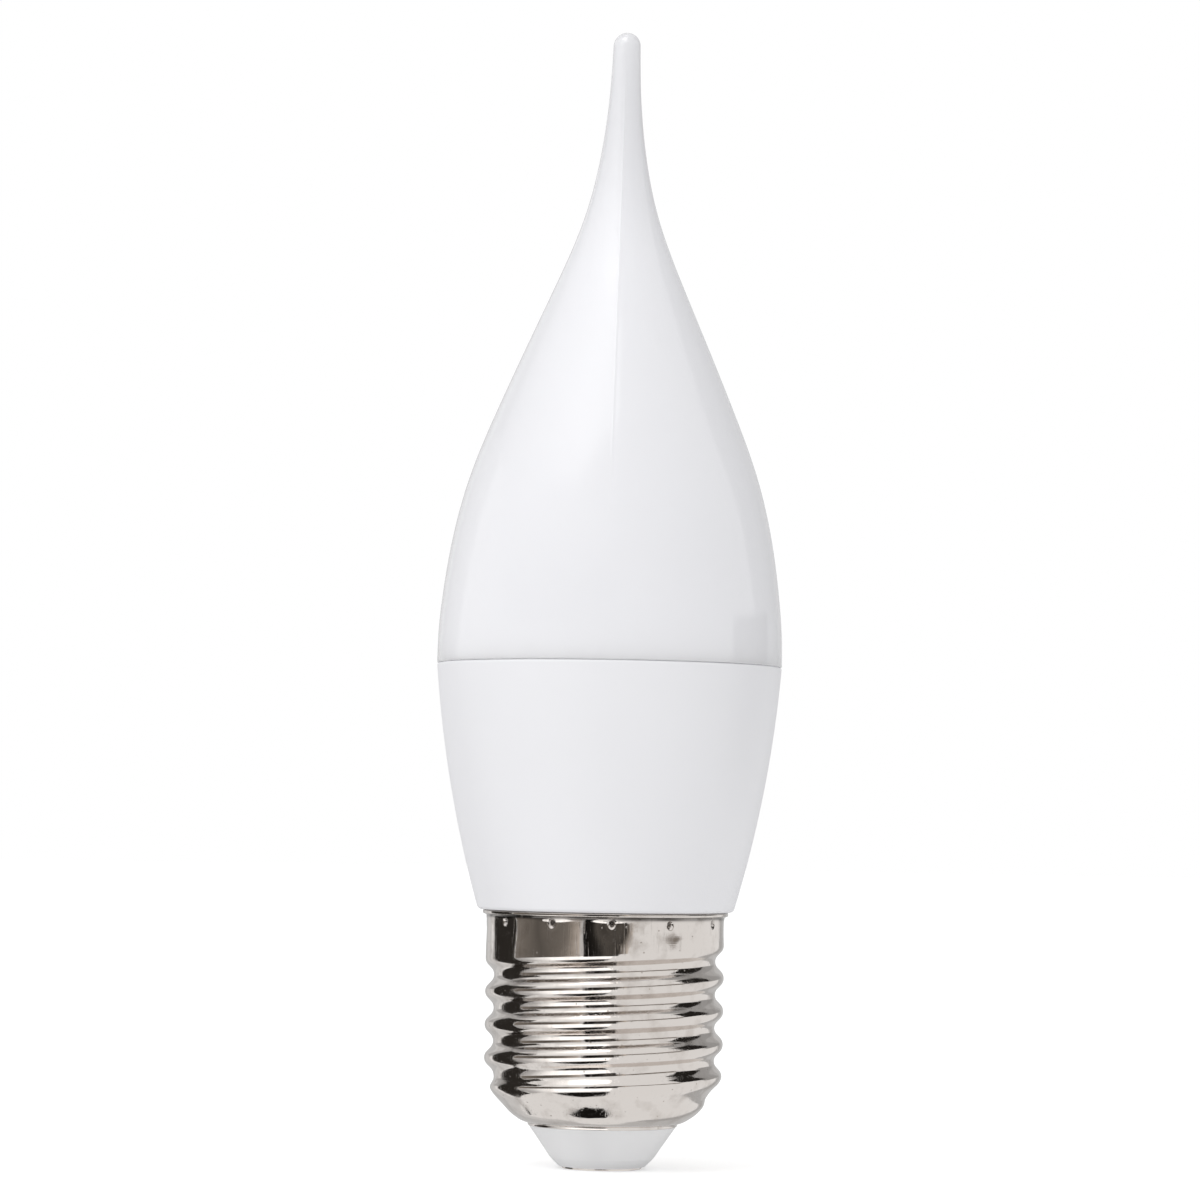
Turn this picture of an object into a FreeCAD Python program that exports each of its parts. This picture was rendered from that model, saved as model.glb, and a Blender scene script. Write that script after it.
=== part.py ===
import FreeCAD, Part
import math
import os

# Candle bulb: a moulded flame with a drawn-out tip on a barrel housing and a rolled screw cap.
# All sizes are in millimetres. The origin is the middle of the centre contact's lower face, and +Z runs
# up the axis to the tip. The front looks along -Y.
# The flame leans a little towards +X. The pieces are turned forms that seat in each other face to face or
# with the fit clearance, and the two mouldings are closed solids, because nothing shows inside them.

Vector = FreeCAD.Vector
ORIGIN = Vector(0, 0, 0)
UP = Vector(0, 0, 1)

# Gap between a piece and the recess or bore that it fits
fit_clearance = 0.05

# Centre contact: a thin disc with a rivet stem in the insulator
contact_thickness = 0.25
contact_radius = 4.4
edge_break = 0.08
stem_radius = 1.25
stem_length = 2.8

# Insulator: a cone below the cap's lip, a neck through the lip and a flange behind it. The rounding of
# its foot passes through a point at these shares of the foot's width and height.
insulator_base_radius = 4.75
insulator_foot_radius = 5.85
insulator_foot_height = 1.35
foot_bulge_shares = (0.72, 0.32)
insulator_top_radius = 8.1
flange_radius = 9.3
flange_thickness = 1.2

# Screw cap, rolled from thin plated sheet. Its shoulder's corners are shares of the way from the lip to
# the band, as (radius, height).
sheet = 0.3
cap_lip_bottom = 4.65
cap_lip_top = 5.05
cap_lip_radius = 8.2
shoulder_shares = (
    (0.316, 0.103),
    (0.612, 0.333),
    (0.837, 0.573),
    (0.949, 0.778),
)
shoulder_top = 10.9
crest_radius = 13.1
cap_top = 28.2
rim_overhang = 0.4
rim_height = 0.5
rim_flare = 0.2
rim_chamfer = 0.12

# Screw thread: a helical groove, whose root is drawn by two facets half as steep as its flanks.
# Its turns are counted down from its upper end. At both ends it climbs out of the sheet, by a share of
# its depth.
pitch = 3.629
thread_depth = 0.95
flank_angle = math.radians(40)
crest_flat = 0.7
groove_start_height = 24.62
groove_turns = 5.25
runout_turns_top = 0.5
runout_turns_bottom = 1.2
runout_lift_share = 1.2
points_per_turn = 12

# Punch marks that lock the cap on the housing's collar
punch_count = 12
punch_first_angle = -87.0
punch_drop = 1.1
punch_nose_radius = 0.2
punch_depth = 0.35

# Housing: a barrel that narrows to the cap, a collar in the cap's band and a neck inside its thread. The
# barrel bows out of straight by a share of how much it widens.
seam_height = 55.2
seam_radius = 19.0
seam_chamfer = 0.15
foot_radius = 14.05
foot_chamfer = 0.4
bow_share = 0.1446
collar_length = 3.1
neck_length = 17.0
neck_chamfer = 0.4

# Diffuser: the flame's outline as shares of its height and of the seam's radius
flame_height = 70.3
flame_shares = (
    (0.00, 1.000),
    (0.10, 0.980),
    (0.20, 0.925),
    (0.30, 0.830),
    (0.40, 0.688),
    (0.50, 0.530),
    (0.60, 0.368),
    (0.70, 0.223),
    (0.81, 0.129),
    (0.92, 0.087),
)
tip_radius = 1.42
tip_round = 1.2
tip_lean = 0.9
lean_power = 1.3

# Spigot of the diffuser, with the snap bead that holds it in the housing's recess
recess_wall = 1.8
spigot_length = 4.0
spigot_chamfer = 0.4
bead_height = 0.25
bead_drop = 2.0

# Radii and heights that follow from the sizes above
bore_radius = crest_radius - sheet
root_bore_radius = bore_radius - thread_depth
lip_bore_radius = cap_lip_radius - sheet
rim_radius = crest_radius + rim_overhang
spigot_radius = seam_radius - recess_wall
shoulder_width = crest_radius - cap_lip_radius
shoulder_height = shoulder_top - cap_lip_top
shoulder_corners = [
    (cap_lip_radius + across * shoulder_width, cap_lip_top + along * shoulder_height)
    for across, along in shoulder_shares
]
cap_outline = (
    (cap_lip_radius, cap_lip_bottom),
    (cap_lip_radius, cap_lip_top),
    *shoulder_corners,
    (crest_radius, shoulder_top),
    (crest_radius, cap_top),
)


def turned(edges):
    """The solid that a closed section in the plane of X and Z makes when it turns about the axis."""
    return Part.Face(Part.Wire(edges)).revolve(ORIGIN, UP, 360)


def turned_outline(corners):
    """A turned solid with straight sides, from its corners as (radius, height)."""
    points = [Vector(radius, 0, height) for radius, height in corners]
    return turned(Part.makePolygon(points + points[:1]).Edges)


def line(start, end):
    return Part.makeLine(Vector(start[0], 0, start[1]), Vector(end[0], 0, end[1]))


def arc(start, middle, end):
    points = [Vector(radius, 0, height) for radius, height in (start, middle, end)]
    return Part.Arc(*points).toShape()


def bowed(low, high, bow):
    """The point that stands out by a bow from the middle of the straight line between two points."""
    length = math.hypot(high[0] - low[0], high[1] - low[1])
    outward = ((high[1] - low[1]) / length, (low[0] - high[0]) / length)
    return ((low[0] + high[0]) / 2 + bow * outward[0], (low[1] + high[1]) / 2 + bow * outward[1])


def ring_of(shape, count, first_angle):
    """Copies of a shape about the axis, the first one at an angle from +X."""
    copies = []
    for index in range(count):
        copy = shape.copy()
        copy.rotate(ORIGIN, UP, first_angle + 360 * index / count)
        copies.append(copy)
    return Part.makeCompound(copies)


def ease(share):
    """A smooth step from 0 to 1."""
    share = min(1.0, max(0.0, share))
    return share * share * (3 - 2 * share)


def radius_at(outline, height):
    """Radius of an outline at a height, with its end radii kept beyond its ends."""
    for (low_radius, low), (high_radius, high) in zip(outline, outline[1:]):
        if height < high:
            share = max(0.0, (height - low) / (high - low))
            return low_radius + (high_radius - low_radius) * share
    return outline[-1][0]


def height_at(outline, radius):
    """Height at which a widening outline reaches a radius."""
    for (low_radius, low), (high_radius, high) in zip(outline, outline[1:]):
        if low_radius <= radius < high_radius:
            return low + (high - low) * (radius - low_radius) / (high_radius - low_radius)
    return outline[-1][1]


def inset_outline(outline, inset):
    """The outline moved towards the axis by a wall, with its corners mitred."""
    normals = []
    for (low_radius, low), (high_radius, high) in zip(outline, outline[1:]):
        length = math.hypot(high_radius - low_radius, high - low)
        normals.append(((low - high) / length, (high_radius - low_radius) / length))
    moved = []
    for index, (radius, height) in enumerate(outline):
        before = normals[max(index - 1, 0)]
        after = normals[min(index, len(normals) - 1)]
        share = inset / (1 + before[0] * after[0] + before[1] * after[1])
        moved.append((radius + share * (before[0] + after[0]), height + share * (before[1] + after[1])))
    return moved


def groove_section(inset):
    """The groove's corners as (distance along the axis from its middle, depth), from below to above.

    Its flanks run on past the crest by the thread's depth and its mouth has a ridge as high again, so
    that the tool clears the sheet also where the shoulder curves.
    """
    half_mouth = (pitch - crest_flat) / 2
    flank_slope = math.tan(flank_angle)
    root_slope = math.tan(flank_angle / 2)
    root_half = (flank_slope * half_mouth - thread_depth) / (flank_slope - root_slope)
    root_corner = (root_half, thread_depth - root_slope * root_half)
    mouth = (half_mouth + thread_depth / flank_slope, -thread_depth)
    side = [mouth, root_corner]
    ridge = (0.0, -2 * thread_depth)
    section = [(-away, depth) for away, depth in side] + [(0.0, thread_depth)] + side[::-1] + [ridge]
    return [(away, depth + inset) for away, depth in section]


def groove_point(turn, away, depth):
    """A corner of the groove's section at a turn.

    Each corner follows the cap's outline at its own height, and the groove climbs out of the sheet at
    both of its ends.
    """
    height = groove_start_height - pitch * turn + away
    fade_top = 1 - ease(turn / runout_turns_top)
    fade_bottom = 1 - ease((groove_turns - turn) / runout_turns_bottom)
    lift = runout_lift_share * thread_depth * max(fade_top, fade_bottom)
    reach = radius_at(cap_outline, height) - depth + lift
    angle = -2 * math.pi * (turn - runout_turns_top)
    return Vector(reach * math.cos(angle), reach * math.sin(angle), height)


def groove_line(first_turn, last_turn, corner):
    """The line that one corner of the section draws between two turns."""
    steps = max(3, round(points_per_turn * (last_turn - first_turn)))
    span = (last_turn - first_turn) / steps
    curve = Part.BSplineCurve()
    curve.interpolate(Points=[groove_point(first_turn + span * step, *corner) for step in range(steps + 1)])
    return curve.toShape()


def groove_tool(inset):
    """A solid that fills the thread's groove and some air outside it, moved in by an inset."""
    corners = groove_section(inset)
    faces = []
    first_turn = 0.0
    while first_turn < groove_turns:
        last_turn = min(first_turn + 1, groove_turns)
        lines = [groove_line(first_turn, last_turn, corner) for corner in corners]
        for index, edge in enumerate(lines):
            faces.append(Part.makeRuledSurface(edge, lines[index - 1]))
        first_turn = last_turn
    for turn in (0.0, groove_turns):
        ends = [groove_point(turn, *corner) for corner in corners]
        faces.append(Part.Face(Part.makePolygon(ends + ends[:1])))
    shell = Part.makeShell(faces)
    shell.sewShape()
    return Part.makeSolid(shell)


def punch_noses(extra):
    """The tapered noses of the punches, half in the band and half outside it, larger by extra."""
    length = 2 * punch_depth
    start = Vector(crest_radius - punch_depth - extra, 0, cap_top - punch_drop)
    nose = Part.makeCone(punch_nose_radius + extra, punch_nose_radius + extra + length, length,
                         start, Vector(1, 0, 0))
    return ring_of(nose, punch_count, punch_first_angle)


def make_centre_contact():
    edge = contact_radius - edge_break
    stem_top = contact_thickness + stem_length
    return turned_outline([
        (0, 0),
        (edge, 0),
        (contact_radius, edge_break),
        (contact_radius, contact_thickness),
        (stem_radius, contact_thickness),
        (stem_radius, stem_top - edge_break),
        (stem_radius - edge_break, stem_top),
        (0, stem_top),
    ])


def make_cap_insulator():
    """The insulator's cone stands on the contact and closes the cap's lower end."""
    neck_radius = lip_bore_radius - fit_clearance
    inside = inset_outline(cap_outline, sheet)
    flange_bottom = height_at(inside, flange_radius) + fit_clearance
    flange_top = flange_bottom + flange_thickness
    hole_radius = stem_radius + fit_clearance
    hole_top = contact_thickness + stem_length + fit_clearance
    hole_foot = (hole_radius, contact_thickness)
    hole_end = (hole_radius, hole_top)
    base = (insulator_base_radius, contact_thickness)
    foot = (insulator_foot_radius, insulator_foot_height)
    bulge = (
        insulator_base_radius + foot_bulge_shares[0] * (insulator_foot_radius - insulator_base_radius),
        contact_thickness + foot_bulge_shares[1] * (insulator_foot_height - contact_thickness),
    )
    rim = (insulator_top_radius, cap_lip_bottom)
    return turned([
        line(hole_foot, base),
        arc(base, bulge, foot),
        line(foot, rim),
        line(rim, (neck_radius, cap_lip_bottom)),
        line((neck_radius, cap_lip_bottom), (neck_radius, flange_bottom)),
        line((neck_radius, flange_bottom), (flange_radius, flange_bottom)),
        line((flange_radius, flange_bottom), (flange_radius, flange_top)),
        line((flange_radius, flange_top), (0, flange_top)),
        line((0, flange_top), (0, hole_top)),
        line((0, hole_top), hole_end),
        line(hole_end, hole_foot),
    ])


def make_cap_blank():
    """The cap's outside before the thread: lip, shoulder, band and curled rim, solid to the axis."""
    body = turned_outline([*cap_outline, (0, cap_top), (0, cap_lip_bottom)])
    rim_bottom = cap_top - rim_height
    rim = turned_outline([
        (0, rim_bottom - rim_flare),
        (crest_radius, rim_bottom - rim_flare),
        (rim_radius, rim_bottom),
        (rim_radius, cap_top - rim_chamfer),
        (rim_radius - rim_chamfer, cap_top),
        (0, cap_top),
    ])
    return body.fuse(rim).removeSplitter()


def make_cap_cavity():
    """The room inside the sheet, which follows the thread and the punch marks."""
    inside = inset_outline(cap_outline, sheet)
    lip = (lip_bore_radius, cap_lip_bottom - sheet)
    mouth = (bore_radius, cap_top + sheet)
    room = turned_outline([lip, *inside[1:-1], mouth, (0, mouth[1]), (0, lip[1])])
    return room.cut(groove_tool(sheet)).cut(punch_noses(sheet))


def make_screw_cap():
    blank = make_cap_blank().cut(groove_tool(0.0)).cut(punch_noses(0.0))
    return blank.cut(make_cap_cavity())


def make_housing():
    """The barrel, with a recess for the diffuser above and a stepped neck for the cap below."""
    foot = (foot_radius, cap_top + foot_chamfer)
    underside = (foot_radius - foot_chamfer, cap_top)
    edge = (seam_radius, seam_height - seam_chamfer)
    barrel = turned([
        arc(edge, bowed(foot, edge, bow_share * (seam_radius - foot_radius)), foot),
        line(foot, underside),
        line(underside, (0, cap_top)),
        line((0, cap_top), (0, seam_height)),
        line((0, seam_height), (seam_radius - seam_chamfer, seam_height)),
        line((seam_radius - seam_chamfer, seam_height), edge),
    ])
    collar_radius = bore_radius - fit_clearance
    neck_radius = root_bore_radius - fit_clearance
    collar_bottom = cap_top - collar_length
    neck_bottom = cap_top - neck_length
    neck = turned_outline([
        (0, cap_top + foot_chamfer),
        (collar_radius, cap_top + foot_chamfer),
        (collar_radius, collar_bottom),
        (neck_radius, collar_bottom),
        (neck_radius, neck_bottom + neck_chamfer),
        (neck_radius - neck_chamfer, neck_bottom),
        (0, neck_bottom),
    ]).cut(punch_noses(sheet + fit_clearance))
    recess = spigot_form(spigot_radius + fit_clearance, spigot_length + fit_clearance, seam_chamfer)
    return barrel.fuse(neck).removeSplitter().cut(recess)


def spigot_form(radius, length, rise):
    """The round spigot with its bead, hanging from the seam and rising past it."""
    bead_middle = seam_height - bead_drop
    return turned_outline([
        (0, seam_height + rise),
        (radius, seam_height + rise),
        (radius, bead_middle + bead_height),
        (radius + bead_height, bead_middle),
        (radius, bead_middle - bead_height),
        (radius, seam_height - length + spigot_chamfer),
        (radius - spigot_chamfer, seam_height - length),
        (0, seam_height - length),
    ])


def flame_circle(height, radius):
    """A cross section of the flame, whose centre follows the lean of the tip."""
    lean = tip_lean * (height / flame_height) ** lean_power
    centre = Vector(lean, 0, seam_height + height)
    return Part.Wire([Part.Circle(centre, UP, radius).toShape()])


def make_diffuser():
    """The flame, one smooth skin through its cross sections, with a rounded tip and a spigot below."""
    sections = [flame_circle(share * flame_height, part * seam_radius) for share, part in flame_shares]
    sections.append(flame_circle(flame_height, tip_radius))
    flame = Part.makeLoft(sections, True)
    rims = [edge for edge in flame.Edges if edge.isClosed()]
    tip_rim = max(rims, key=lambda edge: edge.BoundBox.ZMin)
    flame = flame.makeFillet(tip_round, [tip_rim])
    return flame.fuse(spigot_form(spigot_radius, spigot_length, seam_chamfer)).removeSplitter()


def export(shape, name):
    """Write one piece, and print what it is made of."""
    solid = shape.Solids[0] if len(shape.Solids) == 1 else shape
    solid.exportStep("parts/" + name + ".step")
    print(name, solid.ShapeType, "valid", solid.isValid(), "volume", round(solid.Volume, 1))


os.makedirs("parts", exist_ok=True)
export(make_centre_contact(), "centre_contact")
export(make_cap_insulator(), "cap_insulator")
export(make_screw_cap(), "screw_cap")
export(make_housing(), "housing")
export(make_diffuser(), "diffuser")
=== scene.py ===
"""Candle bulb: the looks of a flame-tip candle bulb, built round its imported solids.

Every new piece is one surface worked out on a grid. Rows run along a profile, and columns run round
the axis. Sizes are in metres, and +Z runs up the bulb's axis from the centre contact to the tip.
"""

import math

import bpy
import numpy as np
from mathutils import Matrix, Vector


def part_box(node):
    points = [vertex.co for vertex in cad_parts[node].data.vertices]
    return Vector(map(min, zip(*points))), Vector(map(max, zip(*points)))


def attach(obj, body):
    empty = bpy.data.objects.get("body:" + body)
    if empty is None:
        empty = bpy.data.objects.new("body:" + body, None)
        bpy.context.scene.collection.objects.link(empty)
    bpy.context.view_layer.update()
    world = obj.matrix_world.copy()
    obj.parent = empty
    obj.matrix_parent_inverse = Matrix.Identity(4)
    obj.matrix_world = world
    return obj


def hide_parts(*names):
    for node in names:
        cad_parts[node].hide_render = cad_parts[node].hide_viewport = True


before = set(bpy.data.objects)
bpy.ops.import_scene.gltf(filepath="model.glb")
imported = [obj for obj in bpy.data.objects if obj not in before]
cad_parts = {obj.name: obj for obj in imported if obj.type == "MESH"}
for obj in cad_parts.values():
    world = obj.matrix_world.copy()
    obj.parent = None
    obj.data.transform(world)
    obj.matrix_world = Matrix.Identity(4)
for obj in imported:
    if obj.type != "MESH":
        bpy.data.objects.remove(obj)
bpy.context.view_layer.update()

bl_info = {
    "name": "Candle Bulb",
    "version": (1, 0, 0),
    "blender": (4, 5, 0),
    "location": "View3D > Sidebar > Candle Bulb",
    "description": "Builds the diffuser, housing, screw cap and insulator of a candle bulb",
    "category": "Object",
}

MM = 0.001

# Heights that the solids give
TIP_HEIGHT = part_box("diffuser")[1].z
SEAM_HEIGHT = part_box("housing")[1].z
LIP_BOTTOM, CAP_TOP = (corner.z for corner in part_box("screw_cap"))
CONTACT_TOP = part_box("cap_insulator")[0].z

# Where the front of the bulb is, as an angle about the axis
FRONT = -math.pi / 2


def linear(hex_colour):
    """The linear red, green and blue of an sRGB colour written as six hex digits."""
    shares = [int(hex_colour[place:place + 2], 16) / 255 for place in (0, 2, 4)]
    return [s / 12.92 if s <= 0.04045 else ((s + 0.055) / 1.055) ** 2.4 for s in shares]


def colour_property(name, hex_colour, description):
    """A colour that the user can change, with its default as six hex digits of sRGB."""
    return bpy.props.FloatVectorProperty(
        name=name, description=description, subtype="COLOR", size=3, min=0, max=1,
        default=linear(hex_colour),
    )


def length_property(name, millimetres, description):
    """A length that the user can change, with its default in millimetres."""
    return bpy.props.FloatProperty(
        name=name, description=description, unit="LENGTH", precision=5, default=millimetres * MM
    )


class CandleDiffuserSettings(bpy.types.PropertyGroup):
    """Sizes and colour of the flame-shaped diffuser."""

    radius: length_property("Radius", 19.0, "Radius of the diffuser at the seam")
    tip_radius: length_property("Tip radius", 1.5, "Radius of the tip's round end")
    tip_lean: length_property("Tip lean", 0.9, "How far the tip's middle stands off the axis")
    mould_line: length_property("Mould line", 0.035, "Height of the line between the mould's halves")
    sink: length_property("Sink mark", 0.02, "Depth of the shallow sink beside the mould line")
    colour: colour_property("Colour", "E6E6E9", "Colour of the opal plastic")


class CandleHousingSettings(bpy.types.PropertyGroup):
    """Sizes and colour of the barrel housing."""

    radius: length_property("Radius", 19.0, "Radius of the housing at the seam")
    foot_radius: length_property("Foot radius", 14.05, "Radius of the housing where it meets the cap")
    bow: length_property("Bow", 0.716, "How far the barrel bows out of straight")
    edge: length_property("Edge rounding", 0.28, "Rounding of the edge at the seam")
    foot_edge: length_property("Foot rounding", 0.55, "Rounding of the edge above the cap")
    colour: colour_property("Colour", "E8E8EB", "Colour of the satin plastic")


class CandleCapSettings(bpy.types.PropertyGroup):
    """Sizes and colours of the rolled screw cap."""

    crest_radius: length_property("Crest radius", 13.1, "Radius over the crests and the plain band")
    thread_depth: length_property("Thread depth", 0.95, "Depth of the thread from crest to root")
    thread_round: length_property("Thread rounding", 1.025, "Radius of the rounded crests and roots")
    pitch: length_property("Pitch", 3.629, "Rise of the thread in one turn")
    sheet: length_property("Sheet", 0.3, "Thickness of the rolled sheet")
    lip_radius: length_property("Lip radius", 8.2, "Radius of the lip round the insulator")
    rim_overhang: length_property("Rim overhang", 0.4, "How far the rim stands out of the band")
    punch_depth: length_property("Punch depth", 0.45, "Depth of the small pits that lock the cap")
    dent_depth: length_property("Dent depth", 0.2, "Depth of the wide dents round the pits")
    colour: colour_property("Nickel", "DAD4CF", "Colour of the nickel plate")
    # Besides real stains, this colour darkened to 0.12 of its brightness is the near-black painted shade
    stain_and_shade: colour_property("Stain", "A89E96", "Colour of the plate where it is dull or stained")


class CandleInsulatorSettings(bpy.types.PropertyGroup):
    """Sizes and colour of the insulator under the cap."""

    top_radius: length_property("Top radius", 8.1, "Radius of the insulator at the cap's lip")
    foot_radius: length_property("Foot radius", 5.7, "Radius where the cone turns in to the contact")
    foot_height: length_property("Foot height", 1.2, "Height of that turn")
    base_radius: length_property("Base radius", 4.75, "Radius of the face on the contact")
    colour: colour_property("Colour", "EDEDEE", "Colour of the insulator")


class CandleStudioSettings(bpy.types.PropertyGroup):
    """Camera, light and floor."""

    lens: bpy.props.FloatProperty(
        name="Lens", description="Focal length in millimetres", unit="CAMERA", default=134.4
    )
    distance: length_property("Distance", 494.0, "Distance of the camera in front of the axis")
    eye_height: length_property("Eye height", 38.2, "Height of the camera")
    aim_height: length_property("Aim height", 62.4, "Height that the camera aims at")
    aim_side: length_property("Aim side", -1.16, "How far beside the axis the camera aims")
    roll: bpy.props.FloatProperty(
        name="Roll", description="Tilt of the bulb to the right in the picture", subtype="ANGLE",
        default=math.radians(0.912),
    )
    fill: bpy.props.FloatProperty(
        name="Fill", description="Strength of the even white light", default=0.9
    )
    key: bpy.props.FloatProperty(
        name="Key", description="Power of the upper left lamp in watts", unit="POWER", default=1.1
    )
    floor_colour: colour_property("Floor", "F4F4F4", "Colour of the floor")


# Numbers and outlines


def ease(share):
    """A smooth step: 0 below 0, 1 above 1, and 3s^2 - 2s^3 between."""
    share = np.clip(share, 0.0, 1.0)
    return share * share * (3 - 2 * share)


def bell(distance, width):
    """A bell of height 1: e to the power of minus half the square of distance over width."""
    return np.exp(-0.5 * (distance / width) ** 2)


def wrapped(angles):
    """The angles brought between minus and plus half a turn."""
    return (angles + math.pi) % (2 * math.pi) - math.pi


def spline(knots, values, at):
    """A natural cubic spline: cubics between the knots that share slope and curvature at each knot."""
    knots, values, at = (np.asarray(part, float) for part in (knots, values, at))
    step = np.diff(knots)
    rise = np.diff(values) / step
    system = np.eye(len(knots))
    right = np.zeros(len(knots))
    inner = np.arange(1, len(knots) - 1)
    system[inner, inner - 1] = step[:-1]
    system[inner, inner] = 2 * (step[:-1] + step[1:])
    system[inner, inner + 1] = step[1:]
    right[inner] = 6 * np.diff(rise)
    bend = np.linalg.solve(system, right)
    piece = np.clip(np.searchsorted(knots, at, side="right") - 1, 0, len(step) - 1)
    after, before, width = at - knots[piece], knots[piece + 1] - at, step[piece]
    return (
        (bend[piece] * before ** 3 + bend[piece + 1] * after ** 3) / (6 * width)
        + (values[piece] / width - bend[piece] * width / 6) * before
        + (values[piece + 1] / width - bend[piece + 1] * width / 6) * after
    )


def rounded_corner(before, corner, after, radius, steps):
    """Points of the arc that rounds a corner, from the side before it to the side after it.

    The arc touches both sides, and its middle lies on the line that halves the corner.
    """
    before, corner, after = (np.asarray(part, float) for part in (before, corner, after))
    to_before = (before - corner) / np.linalg.norm(before - corner)
    to_after = (after - corner) / np.linalg.norm(after - corner)
    half = 0.5 * math.acos(float(np.clip(to_before @ to_after, -1, 1)))
    start = corner + to_before * radius / math.tan(half)
    end = corner + to_after * radius / math.tan(half)
    inward = (to_before + to_after) / np.linalg.norm(to_before + to_after)
    middle = corner + inward * radius / math.sin(half)
    sweep = math.pi - 2 * half
    share = np.linspace(0, 1, steps)[:, None]
    blend = (start - middle) * np.sin((1 - share) * sweep) + (end - middle) * np.sin(share * sweep)
    return middle + blend / math.sin(sweep)


def column_angles(count, first, gathers=1, strength=0.0):
    """Angles round the axis: even steps e, less strength times sin(gathers times e) over gathers.

    With a strength, the columns crowd together near each gather place, where fine detail needs them.
    """
    even = 2 * math.pi * np.arange(count) / count
    return first + even - strength * np.sin(gathers * even) / gathers


def turn_about_axis(radii, heights, angles, middle=0.0):
    """Grid of points (r cos a + m, r sin a, z): each profile row (r, z) carried round a middle m."""
    shape = np.broadcast_shapes(np.shape(radii), (np.shape(heights)[0], len(angles)))
    radii = np.broadcast_to(radii, shape)
    heights = np.broadcast_to(heights, shape)
    return np.stack([radii * np.cos(angles) + middle, radii * np.sin(angles), heights], axis=-1)


def add_surface(name, grid, loop=False):
    """A smooth closed mesh from a grid of points, whose columns close on themselves.

    With loop the rows close as well. Otherwise a fan closes the first and the last row at its middle.
    Each face runs round, then up the profile, so that its normal points out of the piece.
    """
    rows, columns = grid.shape[:2]
    index = np.arange(rows * columns).reshape(rows, columns)
    lower = index if loop else index[:-1]
    upper = np.roll(index, -1, axis=0) if loop else index[1:]
    quads = np.stack([lower, np.roll(lower, -1, axis=1), np.roll(upper, -1, axis=1), upper], axis=-1)
    points = grid.reshape(-1, 3)
    faces = quads.reshape(-1, 4).tolist()
    if not loop:
        ends = np.stack([grid[0].mean(axis=0), grid[-1].mean(axis=0)])
        low, high = len(points), len(points) + 1
        points = np.vstack([points, ends])
        first, last = index[0], index[-1]
        faces += np.stack([np.full(columns, low), np.roll(first, -1), first], axis=-1).tolist()
        faces += np.stack([last, np.roll(last, -1), np.full(columns, high)], axis=-1).tolist()
    mesh = bpy.data.meshes.new(name)
    mesh.from_pydata(points.tolist(), [], faces)
    mesh.polygons.foreach_set("use_smooth", np.ones(len(mesh.polygons), bool))
    mesh.update()
    piece = bpy.data.objects.new(name, mesh)
    bpy.context.scene.collection.objects.link(piece)
    return piece


def finish_piece(piece, material, slot, *nodes):
    """Gives a new piece its material and its body, and hides the solids that it stands for. The slot
    is not used.
    """
    piece.data.materials.append(material)
    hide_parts(*nodes)
    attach(piece, "root")


# Materials


def new_material(name):
    """An empty material with nodes."""
    material = bpy.data.materials.new(name)
    material.use_nodes = True
    material.node_tree.nodes.clear()
    return material


def add_node(tree, kind, inputs=None, **settings):
    """Adds a node with its settings. An input takes a value, or the output that it is linked to."""
    node = tree.nodes.new("ShaderNode" + kind)
    for name, value in settings.items():
        setattr(node, name, value)
    for name, value in (inputs or {}).items():
        if isinstance(value, bpy.types.NodeSocket):
            tree.links.new(value, node.inputs[name])
        else:
            node.inputs[name].default_value = value
    return node


def per_size(millimetres):
    """The scale of a pattern whose features have a real size."""
    return 1 / (millimetres * MM)


def shaded(colour, share=1.0):
    """Red, green, blue and alpha of a colour at a share of its brightness."""
    return (*[part * share for part in colour], 1.0)


# Heights between which the diffuser draws together into the thin stem, and over which its
# colour is painted greyer, a painted shade for the less light that the thin stem scatters back
STEM_SHADE_HEIGHTS = (98 * MM, 118 * MM)


def opal_polycarbonate(colour):
    """Opal polycarbonate, injection moulded in a polished mould: a milky depth under a clear gloss.

    Clouds of tone are 18 mm wide. The mould's polish leaves a very shallow ripple some 6 mm long, and
    handling leaves faint rub marks 4 mm wide, which show as a slightly uneven gloss. The stem is thin,
    so it scatters less light back, and its colour is painted a little greyer there: a painted shade.
    """
    material = new_material("opal_polycarbonate_moulded_gloss")
    tree = material.node_tree
    place = add_node(tree, "TexCoord").outputs["Object"]
    cloud = add_node(tree, "TexNoise", {"Vector": place, "Scale": per_size(18), "Detail": 3.0})
    tone = add_node(tree, "Mix", {
        "Factor": cloud.outputs["Fac"], "A": shaded(colour, 0.985), "B": shaded(colour),
    }, data_type="RGBA")
    height = add_node(tree, "SeparateXYZ", {"Vector": place}).outputs["Z"]
    # Painted shade: the colour is mixed towards a greyer copy of itself up the thin stem
    stem_shade = add_node(tree, "MapRange", {
        "Value": height, "From Min": STEM_SHADE_HEIGHTS[0], "From Max": STEM_SHADE_HEIGHTS[1],
    }, interpolation_type="SMOOTHSTEP")
    tone = add_node(tree, "Mix", {
        "Factor": stem_shade.outputs["Result"], "A": tone.outputs["Result"], "B": shaded(colour, 0.85),
    }, data_type="RGBA")
    rub = add_node(tree, "TexNoise", {"Vector": place, "Scale": per_size(4), "Detail": 4.0})
    rough = add_node(tree, "MapRange", {"Value": rub.outputs["Fac"], "To Min": 0.08, "To Max": 0.15})
    ripple = add_node(tree, "TexNoise", {"Vector": place, "Scale": per_size(6), "Detail": 1.0})
    bump = add_node(tree, "Bump", {
        "Height": ripple.outputs["Fac"], "Strength": 0.25, "Distance": 0.02 * MM,
    })
    skin = add_node(tree, "BsdfPrincipled", {
        "Base Color": tone.outputs["Result"],
        "Roughness": rough.outputs["Result"],
        "IOR": 1.58,
        "Normal": bump.outputs["Normal"],
        "Subsurface Weight": 0.55,
        "Subsurface Radius": (1.0, 1.0, 1.0),
        "Subsurface Scale": 4 * MM,
    })
    add_node(tree, "OutputMaterial", {"Surface": skin.outputs["BSDF"]})
    return material


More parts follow.
